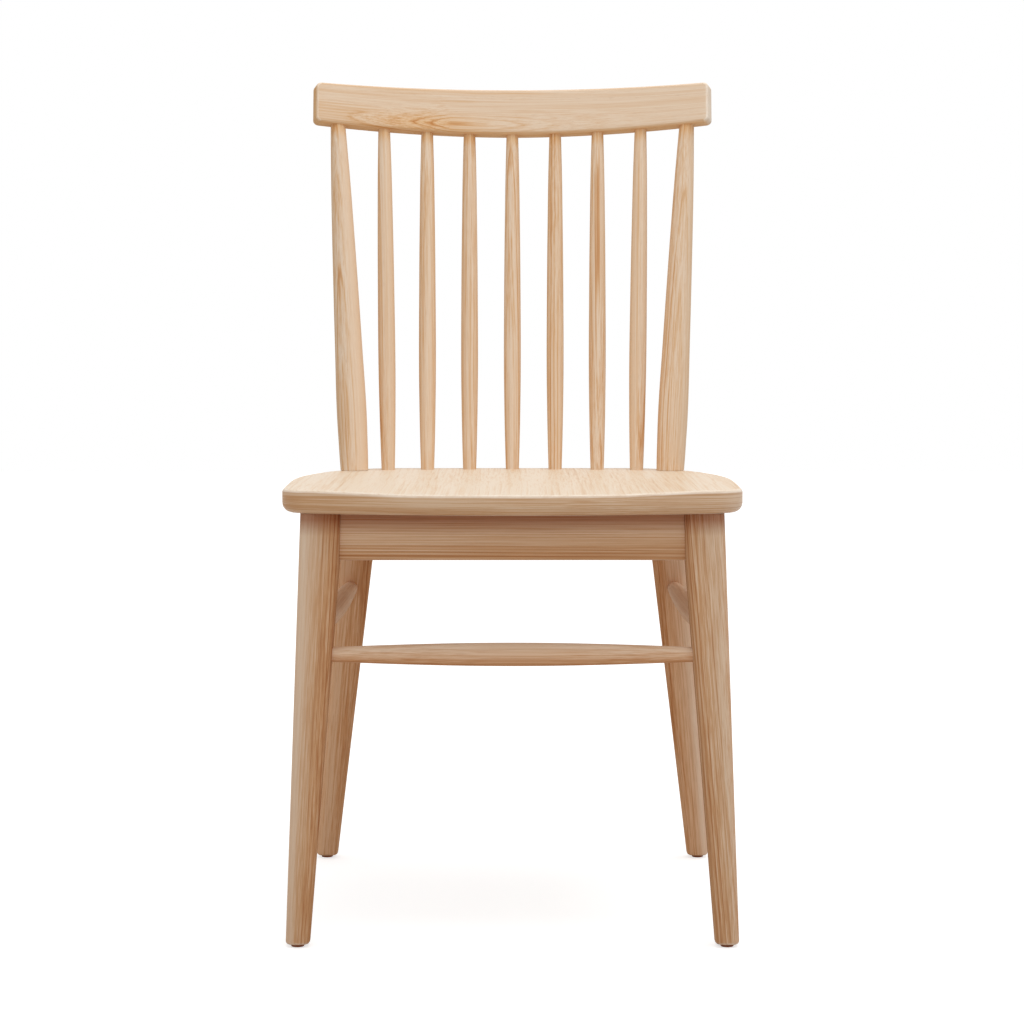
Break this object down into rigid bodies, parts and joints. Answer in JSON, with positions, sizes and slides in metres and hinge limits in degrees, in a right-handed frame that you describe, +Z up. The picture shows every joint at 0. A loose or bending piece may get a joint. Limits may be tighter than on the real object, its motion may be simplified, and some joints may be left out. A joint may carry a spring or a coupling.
{
  "type": "dining chair",
  "caption": "Armless wooden dining chair: turned spindle back under a bent crest rail, dished solid seat, tapered legs, aprons and turned stretchers.",
  "frame": {"origin": "on the floor under the middle of the chair's outer box", "axes": "+Z up; the sitter faces -Y, so the back is at +Y; +X is to the right when the chair is seen from the front"},
  "size_m": [0.466, 0.5092, 0.8892],
  "materials": {
    "seat_wood": "pale hardwood under clear satin lacquer",
    "back_wood": "light hardwood under clear satin lacquer",
    "base_wood": "warm hardwood under clear satin lacquer",
    "block_wood": "bare sawn hardwood",
    "screw_steel": "zinc-plated steel",
    "glide_plastic": "brown moulded plastic"
  },
  "bodies": {
    "root": {"seat": "seat_wood", "crest_rail": "back_wood", "spindle_1": "back_wood", "spindle_2": "back_wood", "spindle_3": "back_wood", "spindle_4": "back_wood", "spindle_5": "back_wood", "spindle_6": "back_wood", "spindle_7": "back_wood", "back_post_left": "back_wood", "back_post_right": "back_wood", "front_leg_left": "base_wood", "front_leg_right": "base_wood", "rear_leg_left": "base_wood", "rear_leg_right": "base_wood", "front_apron": "base_wood", "rear_apron": "base_wood", "side_apron_left": "base_wood", "side_apron_right": "base_wood", "front_stretcher": "base_wood", "side_stretcher_left": "base_wood", "side_stretcher_right": "base_wood", "front_corner_block_left": "block_wood", "front_corner_block_right": "block_wood", "rear_corner_block_left": "block_wood", "rear_corner_block_right": "block_wood", "front_block_screw_left": "screw_steel", "front_block_screw_right": "screw_steel", "rear_block_screw_left": "screw_steel", "rear_block_screw_right": "screw_steel", "front_seat_screw_left": "screw_steel", "front_seat_screw_right": "screw_steel", "rear_seat_screw_left": "screw_steel", "rear_seat_screw_right": "screw_steel", "front_glide_left": "glide_plastic", "front_glide_right": "glide_plastic", "rear_glide_left": "glide_plastic", "rear_glide_right": "glide_plastic"}
  },
  "joints": []
}
